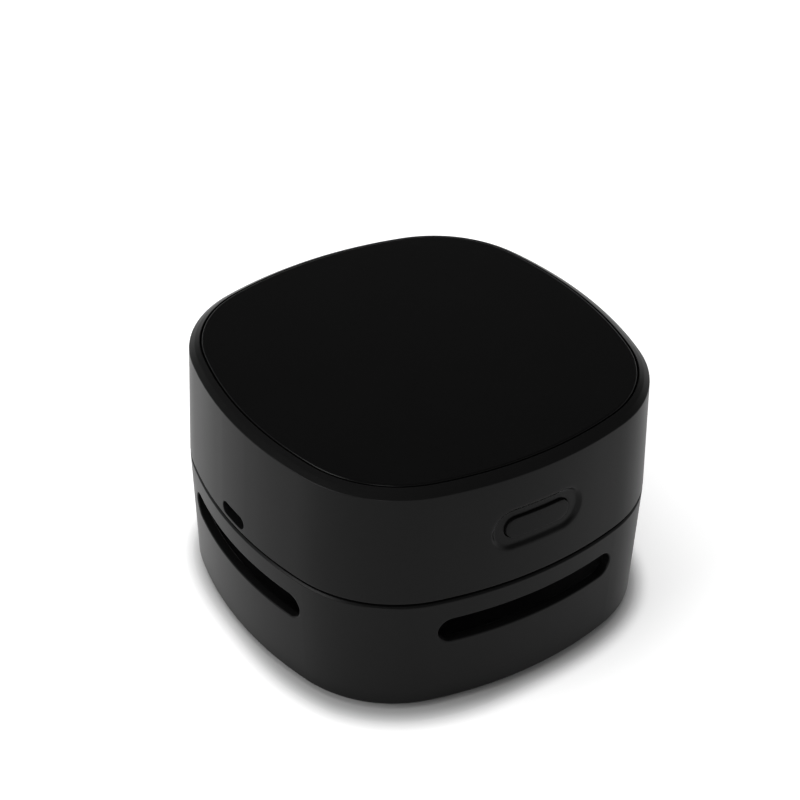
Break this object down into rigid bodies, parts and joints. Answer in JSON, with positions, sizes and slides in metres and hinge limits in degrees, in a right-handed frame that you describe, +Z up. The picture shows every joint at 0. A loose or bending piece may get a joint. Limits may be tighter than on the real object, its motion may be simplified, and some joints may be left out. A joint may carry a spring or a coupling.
{
  "type": "desktop mini vacuum cleaner",
  "caption": "Rounded-square desktop vacuum cleaner: lift-off motor unit with a side button and power inlet over a dust bowl with exhaust slots, filter, brush ring and inlet below.",
  "frame": {"origin": "on the table under the middle of the body", "axes": "+Z up; -Y is the front with the push button; -X is the side with the power inlet"},
  "size_m": [0.085, 0.085, 0.0538],
  "materials": {
    "shell_plastic": "satin black moulded shell",
    "cover_plastic": "smooth black cover",
    "button_plastic": "smooth black cap",
    "deck_plastic": "fine textured black moulding",
    "impeller_plastic": "natural moulded plastic",
    "filter_plastic": "black moulded frame",
    "filter_cloth": "fine woven mesh",
    "brush_plastic": "black moulded strip",
    "bristle": "nylon bristles",
    "foot_rubber": "soft black rubber",
    "motor_steel": "zinc plated sheet",
    "bush_bronze": "bronze",
    "end_cap_nylon": "white nylon",
    "magnet_ferrite": "sintered ferrite",
    "core_steel": "stacked steel sheet",
    "shaft_steel": "ground steel",
    "screw_steel": "plated steel",
    "contact_nickel": "nickel plated strip",
    "cell_jacket": "plain shrink sleeve",
    "switch_nylon": "black nylon",
    "board_laminate": "solder masked laminate",
    "chip_epoxy": "moulded epoxy",
    "lead_sleeve": "soft insulation",
    "socket_steel": "plated steel shell"
  },
  "bodies": {
    "dust_bowl": {"dust_bowl": "shell_plastic", "glide_feet": "foot_rubber", "brush_holders": "brush_plastic", "brush_bristles": "bristle"},
    "filter": {"filter_frame": "filter_plastic", "filter_mesh": "filter_cloth"},
    "motor_unit": {"upper_housing": "shell_plastic", "motor_deck": "deck_plastic", "deck_screws": "screw_steel", "seal_ring": "foot_rubber", "fan_guard": "deck_plastic", "guard_screws": "screw_steel", "motor_can": "motor_steel", "motor_bush": "bush_bronze", "motor_end_cap": "end_cap_nylon", "motor_terminals": "bush_bronze", "motor_magnets": "magnet_ferrite", "motor_clamp": "motor_steel", "clamp_screws": "screw_steel", "cell_bridge": "contact_nickel", "terminal_spring": "contact_nickel", "terminal_plate": "contact_nickel", "switch_body": "switch_nylon", "switch_board": "board_laminate", "switch_screws": "screw_steel", "power_board": "board_laminate", "power_socket": "socket_steel", "power_board_screws": "screw_steel", "board_parts": "chip_epoxy", "motor_lead_front": "lead_sleeve", "motor_lead_back": "lead_sleeve"},
    "rotor": {"impeller": "impeller_plastic", "motor_shaft": "shaft_steel", "motor_armature": "core_steel", "motor_commutator": "bush_bronze"},
    "top_cover": {"top_cover": "cover_plastic"},
    "cell_left": {"cell_left": "cell_jacket"},
    "cell_right": {"cell_right": "cell_jacket"},
    "button": {"power_button": "button_plastic", "switch_plunger": "switch_nylon"}
  },
  "joints": [
    {"name": "body_lift", "type": "slide", "parent": "dust_bowl", "child": "motor_unit", "axis": [0, 0, 1], "range_m": [0, 0.045]},
    {"name": "filter_lift", "type": "slide", "parent": "dust_bowl", "child": "filter", "axis": [0, 0, 1], "range_m": [0, 0.0226]},
    {"name": "cover_lift", "type": "slide", "parent": "motor_unit", "child": "top_cover", "axis": [0, 0, 1], "range_m": [0, 0.04]},
    {"name": "cell_left_lift", "type": "slide", "parent": "motor_unit", "child": "cell_left", "axis": [0, 0, 1], "range_m": [0, 0.0201]},
    {"name": "cell_right_lift", "type": "slide", "parent": "motor_unit", "child": "cell_right", "axis": [0, 0, 1], "range_m": [0, 0.0201]},
    {"name": "button_press", "type": "slide", "parent": "motor_unit", "child": "button", "axis": [0, 1, 0], "range_m": [0, 0.0012], "stiffness_N_per_m": 1200, "springref_m": -0.0004},
    {"name": "impeller_spin", "type": "hinge", "parent": "motor_unit", "child": "rotor", "pos_m": [0, 0, 0.02], "axis": [0, 0, 1], "continuous": true}
  ],
  "couplings": [
    {"joint": "filter_lift", "follows": "body_lift", "ratio": 0.5},
    {"joint": "cell_left_lift", "follows": "cover_lift", "ratio": 0.5},
    {"joint": "cell_right_lift", "follows": "cover_lift", "ratio": 0.5}
  ]
}
